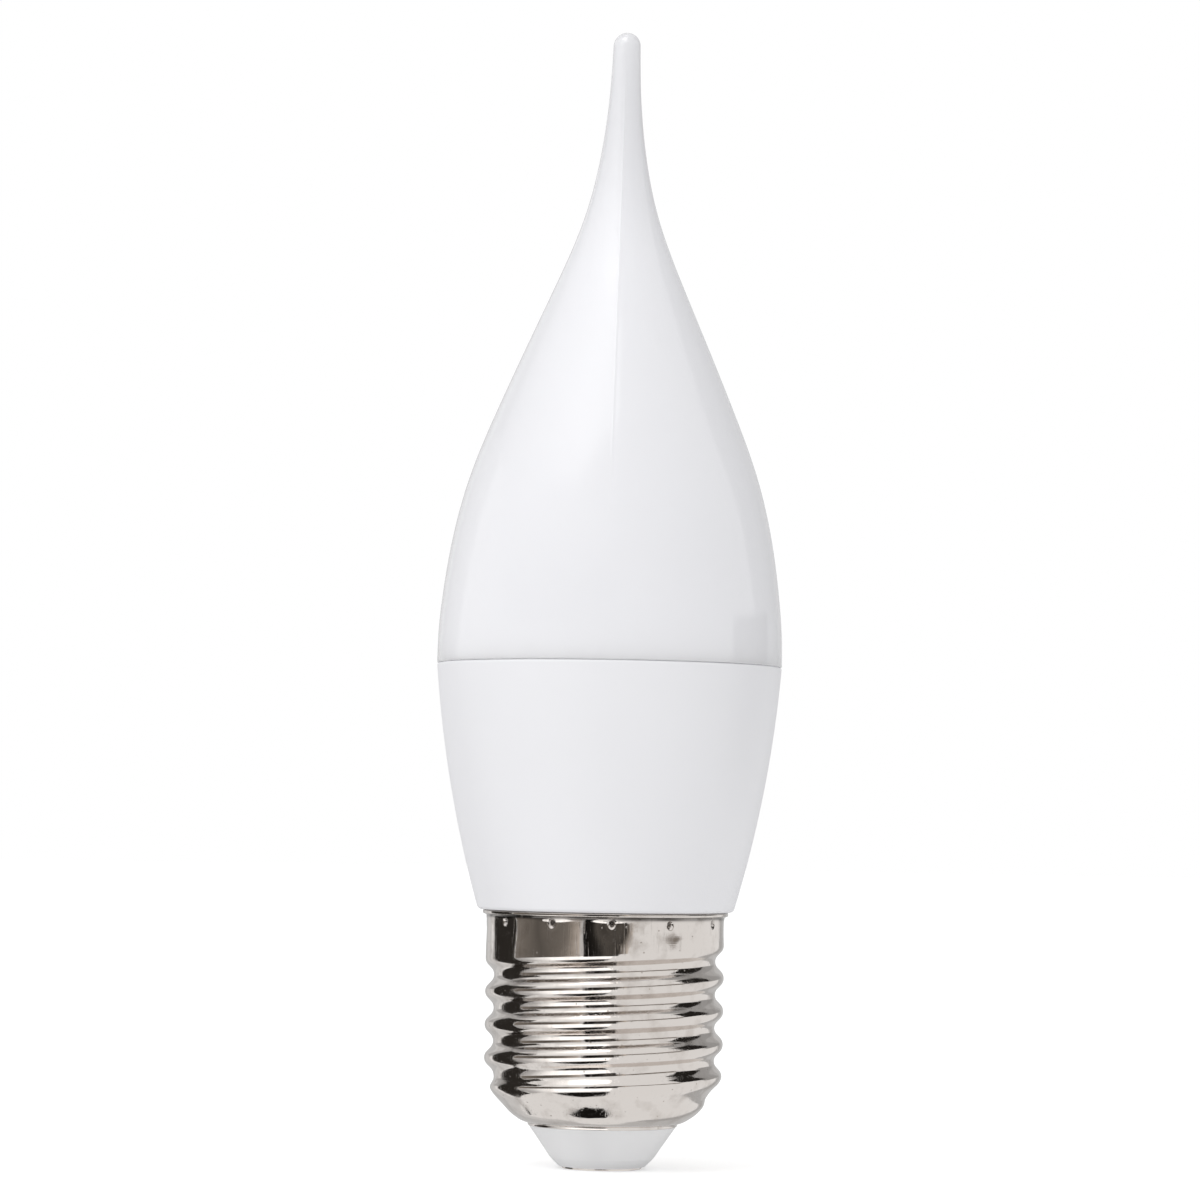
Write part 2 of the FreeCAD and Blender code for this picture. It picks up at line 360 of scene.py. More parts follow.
def satin_polybutylene(colour):
    """White polybutylene, injection moulded in a spark-eroded mould: an even satin with a fine grain.

    The real grain is about 0.1 mm wide, and it is drawn at 0.25 mm so that it shows. Rub marks 5 mm
    wide vary the satin, and clouds of tone are 15 mm wide.
    """
    material = new_material("white_polybutylene_moulded_satin")
    tree = material.node_tree
    place = add_node(tree, "TexCoord").outputs["Object"]
    cloud = add_node(tree, "TexNoise", {"Vector": place, "Scale": per_size(15), "Detail": 3.0})
    tone = add_node(tree, "Mix", {
        "Factor": cloud.outputs["Fac"], "A": shaded(colour, 0.98), "B": shaded(colour),
    }, data_type="RGBA")
    rub = add_node(tree, "TexNoise", {"Vector": place, "Scale": per_size(5), "Detail": 5.0})
    rough = add_node(tree, "MapRange", {"Value": rub.outputs["Fac"], "To Min": 0.38, "To Max": 0.5})
    grain = add_node(tree, "TexNoise", {"Vector": place, "Scale": per_size(0.25), "Detail": 2.0})
    bump = add_node(tree, "Bump", {
        "Height": grain.outputs["Fac"], "Strength": 0.3, "Distance": 0.012 * MM,
    })
    skin = add_node(tree, "BsdfPrincipled", {
        "Base Color": tone.outputs["Result"],
        "Roughness": rough.outputs["Result"],
        "IOR": 1.55,
        "Normal": bump.outputs["Normal"],
    })
    add_node(tree, "OutputMaterial", {"Surface": skin.outputs["BSDF"]})
    return material


# Scratches: the turn of their direction, their width in millimetres, and the noise level that draws them
SCRATCHES = (
    ((0.2, 0.7, 0), 0.16, 0.62),
    ((-0.3, -0.9, 0.4), 0.2, 0.63),
)


def nickel_plate(name, colour, stain_and_shade):
    """Bright nickel plate on rolled sheet: a warm mirror with fine marks.

    Rolling lines run round the sheet. The real ones are under 0.05 mm apart, and they are drawn at
    0.12 mm so that they show. Scratches cross it in two directions, pits lie some 1.1 mm apart, and
    patches about 2 mm wide are dull and a little stained. Where the mesh's value of painted shade is
    high, the colour is painted nearly black: painted shade in the line under the rim, on the rim's top
    under the housing, and in the punch marks.
    """
    material = new_material(name)
    tree = material.node_tree
    place = add_node(tree, "TexCoord").outputs["Object"]

    rolled = add_node(tree, "Mapping", {"Vector": place, "Scale": (0.04, 0.04, 1)})
    rolling = add_node(tree, "TexNoise", {
        "Vector": rolled.outputs["Vector"], "Scale": per_size(0.12), "Detail": 2.0,
    })
    directions = []
    for turn, width, level in SCRATCHES:
        turned = add_node(tree, "Mapping", {
            "Vector": place, "Rotation": turn, "Scale": (1, 1, 0.05),
        })
        noise = add_node(tree, "TexNoise", {
            "Vector": turned.outputs["Vector"], "Scale": per_size(width), "Detail": 1.0,
        })
        lines = add_node(tree, "MapRange", {
            "Value": noise.outputs["Fac"], "From Min": level, "From Max": level + 0.1,
        })
        directions.append(lines.outputs["Result"])
    scratches = add_node(tree, "Math", dict(enumerate(directions)), operation="MAXIMUM")
    patches = add_node(tree, "TexNoise", {"Vector": place, "Scale": per_size(2.2), "Detail": 5.0})
    patch = add_node(tree, "MapRange", {
        "Value": patches.outputs["Fac"], "From Min": 0.5, "From Max": 0.68,
    })
    pits = add_node(tree, "TexVoronoi", {"Vector": place, "Scale": per_size(1.1)})
    pit = add_node(tree, "MapRange", {
        "Value": pits.outputs["Distance"],
        "From Min": 0.04, "From Max": 0.09, "To Min": 1.0, "To Max": 0.0,
    })

    dull = add_node(tree, "MapRange", {"Value": patch.outputs["Result"], "To Max": 0.3})
    dirt = add_node(tree, "Math", {
        0: pit.outputs["Result"], 1: dull.outputs["Result"],
    }, operation="MAXIMUM")
    tone = add_node(tree, "Mix", {
        "Factor": dirt.outputs["Value"], "A": shaded(colour), "B": shaded(stain_and_shade),
    }, data_type="RGBA")
    # Painted shade: nearly black where the mesh marks shade under the rim, on its top and in the punches
    painted_shade = add_node(tree, "Attribute", attribute_name="painted_shade").outputs["Fac"]
    tone = add_node(tree, "Mix", {
        "Factor": painted_shade, "A": tone.outputs["Result"], "B": shaded(stain_and_shade, 0.12),
    }, data_type="RGBA")

    wear = add_node(tree, "Math", {
        0: scratches.outputs["Value"], 1: patch.outputs["Result"],
    }, operation="MAXIMUM")
    rough = add_node(tree, "MapRange", {"Value": wear.outputs["Value"], "To Min": 0.07, "To Max": 0.2})
    rolling_bump = add_node(tree, "Bump", {
        "Height": rolling.outputs["Fac"], "Strength": 0.12, "Distance": 0.01 * MM,
    })
    scratch_bump = add_node(tree, "Bump", {
        "Height": scratches.outputs["Value"], "Strength": 0.25, "Distance": 0.01 * MM,
        "Normal": rolling_bump.outputs["Normal"],
    }, invert=True)
    pit_bump = add_node(tree, "Bump", {
        "Height": pit.outputs["Result"], "Strength": 0.5, "Distance": 0.03 * MM,
        "Normal": scratch_bump.outputs["Normal"],
    }, invert=True)
    skin = add_node(tree, "BsdfPrincipled", {
        "Base Color": tone.outputs["Result"],
        "Metallic": 1.0,
        "Roughness": rough.outputs["Result"],
        "Normal": pit_bump.outputs["Normal"],
    })
    add_node(tree, "OutputMaterial", {"Surface": skin.outputs["BSDF"]})
    return material


def white_urea(colour):
    """White urea resin, pressed in a polished mould: smooth and slightly glossy.

    Flow clouds 5 mm wide give it a faint tone and swell, and rub marks 1.5 mm wide vary its gloss.
    """
    material = new_material("white_insulator_moulded_smooth")
    tree = material.node_tree
    place = add_node(tree, "TexCoord").outputs["Object"]
    cloud = add_node(tree, "TexNoise", {"Vector": place, "Scale": per_size(5), "Detail": 4.0})
    tone = add_node(tree, "Mix", {
        "Factor": cloud.outputs["Fac"], "A": shaded(colour, 0.97), "B": shaded(colour),
    }, data_type="RGBA")
    rub = add_node(tree, "TexNoise", {"Vector": place, "Scale": per_size(1.5), "Detail": 4.0})
    rough = add_node(tree, "MapRange", {"Value": rub.outputs["Fac"], "To Min": 0.24, "To Max": 0.4})
    bump = add_node(tree, "Bump", {
        "Height": cloud.outputs["Fac"], "Strength": 0.2, "Distance": 0.02 * MM,
    })
    skin = add_node(tree, "BsdfPrincipled", {
        "Base Color": tone.outputs["Result"],
        "Roughness": rough.outputs["Result"],
        "IOR": 1.5,
        "Normal": bump.outputs["Normal"],
    })
    add_node(tree, "OutputMaterial", {"Surface": skin.outputs["BSDF"]})
    return material


# Diffuser


# The flame's outline up to where its round end starts, as shares of its height and of the seam's radius
FLAME_SHARES = (
    (0.00, 1.000),
    (0.05, 0.996),
    (0.10, 0.980),
    (0.20, 0.925),
    (0.30, 0.830),
    (0.40, 0.688),
    (0.50, 0.530),
    (0.60, 0.368),
    (0.70, 0.223),
    (0.81, 0.129),
    (0.92, 0.087),
)
LEAN_POWER = 1.3

# Size of the small chamfer at the seam, and the close rows above it that keep its shading off the side
FLAME_CHAMFER = 0.05 * MM
CHAMFER_ROWS = (0.0012, 0.0018, 0.0026)
FIRST_SIDE_ROW = 0.004

# The dome's rows stop just short of the pole, where a fan closes it
DOME_TURN = 0.985 * math.pi / 2

# The mould line, and the shares of the height where it starts and ends and over which it fades
MOULD_LINE_ANGLE = FRONT - math.radians(1.3)
MOULD_LINE_WIDTH = 0.09 * MM
MOULD_LINE_START, MOULD_LINE_FADE_IN = 0.12, 0.35
MOULD_LINE_END, MOULD_LINE_FADE_OUT = 0.975, 0.05

# The sink mark beside it
SINK_HEIGHT = 98 * MM
SINK_ASIDE = 0.9 * MM
SINK_WIDTH = 0.4 * MM
SINK_LENGTH = 2.6 * MM


def diffuser_grid(sizes):
    """The flame: a spline outline turned about a middle that leans, under a dome.

    The lean is tip_lean times the share of the height to the power 1.3. A mould line stands out at the
    front and the back as a bell across the angle, fading towards the seam and the tip, and a shallow
    sink, a bell both ways, lies beside the front line.
    """
    height = TIP_HEIGHT - SEAM_HEIGHT
    dome_share = 1 - sizes.tip_radius / height
    knots = [share for share, _ in FLAME_SHARES] + [dome_share]
    values = [part * sizes.radius for _, part in FLAME_SHARES] + [sizes.tip_radius]
    shares = dome_share * np.concatenate([CHAMFER_ROWS, np.linspace(FIRST_SIDE_ROW, 1, 190)])
    side = np.stack([spline(knots, values, shares), SEAM_HEIGHT + shares * height], axis=-1)
    rise = np.linspace(0, DOME_TURN, 22)[1:]
    dome = np.stack([
        sizes.tip_radius * np.cos(rise),
        TIP_HEIGHT - sizes.tip_radius * (1 - np.sin(rise)),
    ], axis=-1)
    chamfer = [
        (sizes.radius - 4 * FLAME_CHAMFER, SEAM_HEIGHT),
        (sizes.radius - 2.5 * FLAME_CHAMFER, SEAM_HEIGHT),
        (sizes.radius - 1.2 * FLAME_CHAMFER, SEAM_HEIGHT + 0.3 * FLAME_CHAMFER),
        (sizes.radius - 0.5 * FLAME_CHAMFER, SEAM_HEIGHT + 1.2 * FLAME_CHAMFER),
    ]
    profile = np.vstack([chamfer, side, dome])
    angles = column_angles(320, MOULD_LINE_ANGLE, 2, 0.9)
    radii, heights = profile[:, :1], profile[:, 1:]
    share = np.clip((heights - SEAM_HEIGHT) / height, 0, 1)
    beside = radii * np.sin(angles - MOULD_LINE_ANGLE)
    in_front = np.cos(angles - MOULD_LINE_ANGLE) > 0
    showing = ease((share - MOULD_LINE_START) / MOULD_LINE_FADE_IN)
    showing = showing * ease((MOULD_LINE_END - share) / MOULD_LINE_FADE_OUT)
    line = sizes.mould_line * showing * bell(beside, MOULD_LINE_WIDTH)
    sink = sizes.sink * bell(beside - SINK_ASIDE, SINK_WIDTH)
    sink = sink * bell(heights - SINK_HEIGHT, SINK_LENGTH) * in_front
    lean = sizes.tip_lean * share ** LEAN_POWER
    return turn_about_axis(radii + line - sink, heights, angles, lean)


class CANDLE_OT_diffuser(bpy.types.Operator):
    """Builds the opal flame with its leaning tip, mould line and sink mark"""

    bl_idname = "candle.diffuser"
    bl_label = "Diffuser"

    def execute(self, context):
        sizes = context.scene.candle_diffuser
        piece = add_surface("opal_flame", diffuser_grid(sizes))
        finish_piece(piece, opal_polycarbonate(sizes.colour), "opal_diffuser", "diffuser")
        return {"FINISHED"}


# Housing


# How far the ends turn in before they close, and how far the side's rows stay from the rounded edges
HOUSING_TURN_IN = 2 * MM
CLEAR_OF_EDGE = 0.1 * MM


def housing_grid(sizes):
    """The barrel: an arc with a bow over its chord, between two rounded edges, turned about the axis.

    The arc is the chord plus 4 times the bow times s(1 - s) outwards, with s from 0 to 1 along it.
    """
    low = np.array([sizes.foot_radius, CAP_TOP])
    high = np.array([sizes.radius, SEAM_HEIGHT])
    chord = high - low
    outward = np.array([chord[1], -chord[0]]) / np.linalg.norm(chord)
    share = np.linspace(0, 1, 120)[:, None]
    barrel = low + share * chord + 4 * sizes.bow * share * (1 - share) * outward
    under = (sizes.foot_radius - HOUSING_TURN_IN, CAP_TOP)
    inside = (sizes.radius - HOUSING_TURN_IN, SEAM_HEIGHT)
    foot = rounded_corner(under, barrel[0], barrel[6], sizes.foot_edge, 12)
    edge = rounded_corner(barrel[-6], barrel[-1], inside, sizes.edge, 10)
    heights = barrel[:, 1]
    side = barrel[(heights > foot[-1, 1] + CLEAR_OF_EDGE) & (heights < edge[0, 1] - CLEAR_OF_EDGE)]
    profile = np.vstack([[under], foot, side, edge, [inside]])
    return turn_about_axis(profile[:, :1], profile[:, 1:], column_angles(256, FRONT))


class CANDLE_OT_housing(bpy.types.Operator):
    """Builds the satin white barrel between the diffuser and the cap"""

    bl_idname = "candle.housing"
    bl_label = "Housing"

    def execute(self, context):
        sizes = context.scene.candle_housing
        piece = add_surface("barrel_housing", housing_grid(sizes))
        finish_piece(piece, satin_polybutylene(sizes.colour), "white_housing", "housing")
        return {"FINISHED"}


# Screw cap


# Height of the thread's uppermost root at the angle of +X, then where the groove starts and ends and
# how long it fades there, in turns
THREAD_ROOT_HEIGHT = 22.81 * MM
GROOVE_TURNS = (-0.5, 4.75)
FADE_TURNS = (0.5, 1.2)

# The shoulder's outline from the lip to the band, as shares of its width and of its height
SHOULDER_SHARES = (
    (0.000, 0.000),
    (0.163, 0.040),
    (0.286, 0.097),
    (0.398, 0.158),
    (0.510, 0.242),
    (0.622, 0.340),
    (0.734, 0.445),
    (0.845, 0.565),
    (0.932, 0.710),
    (0.982, 0.855),
    (1.000, 1.000),
)
SHOULDER_HEIGHT = 6.2 * MM
LIP_HEIGHT = 0.3 * MM
RIM_HEIGHT = 0.62 * MM

# Rows of the sheet: the first above the shoulder, those over the thread, the finer ones over the plain
# band's marks, and those inside. The inside of the shoulder lies in along its mean slope, in sheets.
FIRST_THREAD_ROW = 0.12 * MM
THREAD_ROW = 0.125 * MM
BAND_START = 25.2 * MM
BAND_ROW = 0.085 * MM
INSIDE_ROW = 0.45 * MM
SHOULDER_INWARD = (-0.8, 0.6)

# Punch marks, counted round from the one near the front, and the chance that sets them apart
PUNCH_COUNT = 12
PUNCH_FIRST = math.radians(-87)
PUNCH_DROP = 1.1 * MM
PUNCH_SEED = 7
PIT_WIDTH = 0.28 * MM
PIT_LENGTH = 0.42 * MM
PIT_LIP = 0.03 * MM
DENT_WIDTH = 1.15 * MM

# The sheet's unevenness: its depth, and where it grows to its full size over the thread
WAVE_DEPTH = 0.014 * MM
WAVE_HEIGHT = 24.6 * MM
WAVE_SHARE_ON_THREAD = 0.3

# Painted shade: the line under the rim, the rim's upper edge under the housing, and the punch marks
RIM_LINE_DROP = 0.66 * MM
RIM_LINE_WIDTH = 0.13 * MM
RIM_TOP_DROP = 0.14 * MM
RIM_TOP_FADE = 0.1 * MM
PIT_SHADE = 0.85
PIT_SHADE_WIDTH = 0.3 * MM


def thread_depth_at(away, sizes):
    """Depth of the round thread at a distance along the axis from its root.

    Arcs of equal radius at root and crest are joined by their common tangent, whose angle to the axis
    is asin(2r / D) - atan((2r - d) / h), where D is the distance between the arcs' middles, d the depth
    and h half the pitch.
    """
    half, radius, depth = sizes.pitch / 2, sizes.thread_round, sizes.thread_depth
    gap = 2 * radius - depth
    flank = math.asin(2 * radius / math.hypot(half, gap)) - math.atan2(gap, half)
    reach = radius * math.sin(flank)
    drop = radius * (1 - math.cos(flank))
    root = depth - radius + np.sqrt(np.maximum(radius ** 2 - away ** 2, 0))
    crest = radius - np.sqrt(np.maximum(radius ** 2 - (half - away) ** 2, 0))
    straight = depth - drop - (away - reach) * (depth - 2 * drop) / (half - 2 * reach)
    return np.where(away < reach, root, np.where(away > half - reach, crest, straight))


def thread_inset(angles, heights, sizes):
    """How far the thread draws the sheet in: the round profile times a fade at the groove's two ends.

    The groove's root climbs by one pitch in each turn, and the nearest turn of it counts.
    """
    climb = THREAD_ROOT_HEIGHT + sizes.pitch * wrapped(angles) / (2 * math.pi)
    turn = np.round((climb - heights) / sizes.pitch)
    away = np.abs(climb - turn * sizes.pitch - heights)
    along = turn - wrapped(angles) / (2 * math.pi)
    fade_in = ease((along - GROOVE_TURNS[0]) / FADE_TURNS[0])
    fade_out = ease((GROOVE_TURNS[1] - along) / FADE_TURNS[1])
    return fade_in * fade_out * thread_depth_at(away, sizes)


def punch_places():
    """Angle and height of each punch mark, and how far off, how far down and how deep its dent lies.

    They differ a little, and the mark in front was struck hardest.
    """
    chance = np.random.default_rng(PUNCH_SEED)
    for mark in range(PUNCH_COUNT):
        angle = PUNCH_FIRST + 2 * math.pi * mark / PUNCH_COUNT + chance.normal(0, 0.012)
        height = CAP_TOP - PUNCH_DROP + chance.normal(0, 0.08) * MM
        off_side, off_down = chance.normal(0, 0.35) * MM, (0.3 + chance.random() * 0.7) * MM
        strength = 0.3 + 0.4 * chance.random()
        yield angle, height, off_side, off_down, 1.0 if mark == 0 else strength


def punch_inset(angles, heights, sizes):
    """How far the punch marks draw the band in.

    Each is a narrow bell-shaped pit with a raised lip, in a wide shallow dent, a bell as well, whose
    middle lies a little off the pit.
    """
    inset = np.zeros(np.broadcast_shapes(angles.shape, heights.shape))
    for angle, height, off_side, off_down, share in punch_places():
        across = wrapped(angles - angle) * sizes.crest_radius
        up = heights - height
        from_pit = np.hypot(across / PIT_WIDTH, up / PIT_LENGTH)
        pit = sizes.punch_depth * np.exp(-from_pit ** 2 * 1.3)
        raised = PIT_LIP * np.exp(-((from_pit - 1.75) / 0.4) ** 2)
        dent = share * sizes.dent_depth * bell(across - off_side, DENT_WIDTH)
        dent = dent * bell(up + off_down, DENT_WIDTH)
        inset += pit - raised + dent
    return inset


def hand_waves(angles, heights):
    """The slight unevenness of rolled sheet: the sum of sines with 3, 7 and 13 waves round the band."""
    return WAVE_DEPTH * (
        np.sin(3 * angles + 0.6)
        + 0.7 * np.sin(7 * angles + 1.9 + heights / (2.2 * MM))
        + 0.4 * np.sin(13 * angles - heights / (1.6 * MM))
    )


def screw_cap_profile(sizes):
    """The sheet's closed outline without its thread: lip, splined shoulder, band, rim and the inside."""
    crest, sheet, lip_radius = sizes.crest_radius, sizes.sheet, sizes.lip_radius
    lip_top = LIP_BOTTOM + LIP_HEIGHT
    shoulder_top = lip_top + SHOULDER_HEIGHT
    lip_start = (lip_radius - sheet, LIP_BOTTOM)
    lip = np.vstack([
        [lip_start],
        rounded_corner(lip_start, (lip_radius, LIP_BOTTOM), (lip_radius, lip_top), 0.12 * MM, 6),
    ])
    wide, tall = zip(*SHOULDER_SHARES)
    along = np.concatenate([[0], np.cumsum(np.hypot(np.diff(wide), np.diff(tall)))])
    at = np.linspace(0, along[-1], 46)
    shoulder = np.stack([
        lip_radius + spline(along, wide, at) * (crest - lip_radius),
        lip_top + spline(along, tall, at) * SHOULDER_HEIGHT,
    ], axis=-1)
    rim_low, rim = CAP_TOP - RIM_HEIGHT, crest + sizes.rim_overhang
    band_heights = np.concatenate([
        np.arange(shoulder_top + FIRST_THREAD_ROW, BAND_START, THREAD_ROW),
        np.arange(BAND_START, rim_low, BAND_ROW),
    ])
    band = np.stack([np.full(len(band_heights), crest), band_heights], axis=-1)
    # The rim turns out of the band, then up, then in over the top
    low_out = rounded_corner(
        (crest, rim_low - MM), (crest, rim_low + 0.05 * MM), (rim, rim_low + 0.16 * MM), 0.1 * MM, 5
    )
    out_up = rounded_corner(
        (crest, rim_low + 0.12 * MM), (rim, rim_low + 0.18 * MM), (rim, CAP_TOP), 0.12 * MM, 6
    )
    up_in = rounded_corner((rim, rim_low), (rim, CAP_TOP), (crest - sheet, CAP_TOP), 0.2 * MM, 7)
    inside_heights = np.arange(CAP_TOP - INSIDE_ROW, shoulder_top, -INSIDE_ROW)
    inside = np.vstack([
        [(crest - sheet, CAP_TOP)],
        np.stack([np.full(len(inside_heights), crest - sheet), inside_heights], axis=-1),
        shoulder[::-6] + np.array(SHOULDER_INWARD) * sheet,
    ])
    return np.vstack([lip, shoulder, band, low_out, out_up, up_in, inside])


def screw_cap_grid(sizes):
    """The rolled sheet: its outline turned about the axis, with both sides drawn in along the radius.

    The thread, the punch marks and the waves add up to how far. They fade out below the rim.
    """
    profile = screw_cap_profile(sizes)
    radii, heights = profile[:, :1], profile[:, 1:]
    angles = column_angles(384, PUNCH_FIRST, PUNCH_COUNT, 0.6)
    below_rim = ease((CAP_TOP - RIM_HEIGHT - heights) / (0.5 * MM))
    above_thread = ease((heights - WAVE_HEIGHT) / (0.8 * MM))
    wave_share = WAVE_SHARE_ON_THREAD + (1 - WAVE_SHARE_ON_THREAD) * above_thread
    inset = thread_inset(angles, heights, sizes)
    inset = inset + punch_inset(angles, heights, sizes) * below_rim
    inset = inset + hand_waves(angles, heights) * below_rim * wave_share
    return turn_about_axis(radii - np.maximum(inset, 0), heights, angles)


def mark_painted_shade(piece, crest_radius):
    """Gives the cap's mesh a value of painted shade from 0 to 1, which the nickel paints nearly black.

    It is high in the line of shade under the rim and on the rim's top under the housing, uneven round
    the axis by two sines, and in a bell round each punch mark, in the shade of its hollow.
    """
    points = np.empty(3 * len(piece.data.vertices))
    piece.data.vertices.foreach_get("co", points)
    across_x, across_y, heights = points.reshape(-1, 3).T
    around = np.arctan2(across_y, across_x)
    # Painted shade in the line under the rim and on the rim's top under the housing
    under = bell(heights - (CAP_TOP - RIM_LINE_DROP), RIM_LINE_WIDTH)
    over = ease((heights - CAP_TOP + RIM_TOP_DROP) / RIM_TOP_FADE)
    uneven = 0.74 + 0.16 * np.sin(5 * around + 1) + 0.1 * np.sin(17 * around)
    value = np.clip(under + over, 0, 1) * uneven
    # Painted shade in the hollow of each punch mark
    for angle, height, *_ in punch_places():
        away = np.hypot(wrapped(around - angle) * crest_radius, heights - height)
        value = np.maximum(value, PIT_SHADE * np.exp(-away ** 2 / PIT_SHADE_WIDTH ** 2))
    painted_shade = piece.data.attributes.new("painted_shade", "FLOAT", "POINT")
    painted_shade.data.foreach_set("value", value)


class CANDLE_OT_screw_cap(bpy.types.Operator):
    """Builds the rolled nickel cap with its round thread, curled rim and punch marks"""

    bl_idname = "candle.screw_cap"
    bl_label = "Screw cap"

    def execute(self, context):
        sizes = context.scene.candle_cap
        piece = add_surface("rolled_screw_cap", screw_cap_grid(sizes), loop=True)
        # The mesh gets a value of painted shade, which the nickel paints nearly black
        mark_painted_shade(piece, sizes.crest_radius)
        plate = nickel_plate("nickel_plate_on_rolled_sheet", sizes.colour, sizes.stain_and_shade)
        finish_piece(piece, plate, "nickel_cap", "screw_cap")
        return {"FINISHED"}


# Insulator and contact


# Rounding of the cone's foot and of its face, and the collar that closes it inside the cap's lip
CONE_FOOT_ROUND = 0.9 * MM
CONE_FACE_ROUND = 0.15 * MM
COLLAR_HEIGHT = 0.5 * MM
COLLAR_HOLE = 1 * MM


def insulator_grid(sizes):
    """The cone: a straight side, a rounded foot and a face on the contact, turned about the axis."""
    top = np.array([sizes.top_radius, LIP_BOTTOM])
    foot = np.array([sizes.foot_radius, sizes.foot_height])
    base = (sizes.base_radius, CONTACT_TOP)
    side = foot + np.linspace(0, 1, 40)[:, None] * (top - foot)
    face = rounded_corner((0, CONTACT_TOP), base, foot, CONE_FACE_ROUND, 6)
    turn = rounded_corner(base, foot, side[6], CONE_FOOT_ROUND, 12)
    side = side[side[:, 1] > turn[-1, 1] + 0.05 * MM]
    collar = [
        (sizes.top_radius - 0.15 * MM, LIP_BOTTOM + 0.1 * MM),
        (sizes.top_radius - 0.2 * MM, LIP_BOTTOM + COLLAR_HEIGHT),
        (COLLAR_HOLE, LIP_BOTTOM + COLLAR_HEIGHT),
    ]
    profile = np.vstack([[(COLLAR_HOLE, CONTACT_TOP)], face, turn, side, collar])
    return turn_about_axis(profile[:, :1], profile[:, 1:], column_angles(192, FRONT))


class CANDLE_OT_insulator(bpy.types.Operator):
    """Builds the white insulator cone below the cap's lip"""

    bl_idname = "candle.insulator"
    bl_label = "Insulator"

    def execute(self, context):
        sizes = context.scene.candle_insulator
        piece = add_surface("insulator_cone", insulator_grid(sizes))
        finish_piece(piece, white_urea(sizes.colour), "insulator", "cap_insulator")
        return {"FINISHED"}


class CANDLE_OT_contact(bpy.types.Operator):
    """Gives the solid of the centre contact its plated finish"""

    bl_idname = "candle.contact"
    bl_label = "Centre contact"

    def execute(self, context):
        sizes = context.scene.candle_cap
        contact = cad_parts["centre_contact"]
        plate = nickel_plate("nickel_plate_on_contact", sizes.colour, sizes.stain_and_shade)
        contact.data.materials.clear()
        contact.data.materials.append(plate)
        return {"FINISHED"}


# Studio


WHITE = (1.0, 1.0, 1.0, 1.0)
WARM_WHITE = (1.0, 0.9, 0.8, 1.0)

# The floor's rings and thickness in metres, and the light that makes it read as white paper
FLOOR_RINGS = (0.0005, 0.05, 0.2, 0.8, 3.0)
FLOOR_THICKNESS = 0.01
PAPER_GLOW = 0.3

# Strength of the white room as the pieces mirror it
MIRRORED_FILL = 0.95

# The upper left lamp: side, place and the point that it faces
LAMP_SIDE = 0.35
LAMP_PLACE = (-0.36, -0.42, 0.46)
LAMP_AIM = (0, 0, 0.06)

# Height of the middle of the balls that the cards lie on, and the mean strength up to which they
# are warm, as a dim room is
CARD_MIDDLE = 20 * MM
WARM_UP_TO = 0.38

# Cards that the cap and the flame mirror: corners of the lower edge as (azimuth from the front to the
# right, elevation, strength), elevation of the upper edge and distance, then for some the share of the
# strength at the lower edge, and how far the card leans to the right at its top. All angles are in
# degrees. A nearer card covers a farther one.
CARDS = {
    "dark_back_left": (((-181, -60, 0.6), (-156, -60, 0.6)), 70, 0.61),
    "dark_back_right": (((156, -60, 0.6), (181, -60, 0.6)), 70, 0.61),
    "grey_corner_left": (((-156, -60, 0.72), (-142, -60, 0.72)), 60, 0.60),
    "grey_corner_right": (((142, -60, 0.5), (156, -60, 0.5)), 60, 0.60),
    "grey_room_left": (((-152, 4, 0.5), (-122, 4, 0.5)), 64, 0.595, 1.0, 18),
    "grey_room_right": (((116, 4, 0.4), (152, 4, 0.4)), 64, 0.59, 1.0, -22),
    "white_table_left": (
        ((-97, -46, 0.45), (-84, -46, 0.6), (-50, -46, 1.7), (8, -46, 1.7)), -8, 0.56,
    ),
    "black_edge_below": (((-66, -80, 0.01), (9, -80, 0.01)), -52, 0.55),
    "white_wall_left": (((-80, 13, 1.15), (3, 13, 1.15)), 84, 0.54, 0.6),
    "dim_room_left": (
        ((-92, -9, 0.24), (-60, -9, 0.12), (-38, -9, 0.22), (-23, -9, 0.6)), 14, 0.124,
    ),
    "light_stand_left": (((-23, -9, 0.65), (-19, -9, 0.65)), 14, 0.122),
    "dark_room_behind_camera": (
        ((-19, -14, 0.004), (-5, -14, 0.02), (2, -14, 0.1), (12, -14, 0.04)), 17, 0.12,
    ),
    "dark_doorway_right": (((11, -1, 0.05), (15, -1, 0.3), (20, -1, 0.7)), 16, 0.118),
    "dim_line_right": (((20, 4.5, 0.25), (78, 4.5, 0.25)), 14, 0.118),
    "lamp_over_tip": (((-55, 67, 6.0), (-8, 67, 6.0)), 80, 0.185),
    "softbox_upper_left": (
        ((-134, 38, 0.3), (-80, 42, 1.2), (-30, 46, 2.3), (-12, 55, 2.6), (4, 58, 2.6)),
        85, 0.19, 0.8,
    ),
    "dark_flag_left": (((-126, -48, 0.03), (-90, -48, 0.03)), 30, 0.075),
    "dark_flag_upper_left": (((-91, 14, 0.05), (-72, 14, 0.05)), 30, 0.075),
    "dark_gap_near": (((76, 8, 0.02), (113, 8, 0.02)), 41, 0.07),
}


def card_grid(corners, top, distance, lean):
    """A patch of a ball above an edge that runs through corners, and leans by a share of its height.

    Returns the grid of points, the azimuths of its columns and the shares of the height of its rows.
    """
    around = np.linspace(corners[0, 0], corners[-1, 0], 40)
    low = np.interp(around, corners[:, 0], corners[:, 1])
    share = np.linspace(0, 1, 16)[:, None]
    across = np.radians(around + lean * share)
    up = np.radians(low + share * (top - low))
    grid = np.stack([
        distance * np.cos(up) * np.sin(across),
        -distance * np.cos(up) * np.cos(across),
        distance * np.sin(up) + CARD_MIDDLE,
    ], axis=-1)
    return grid, around, share


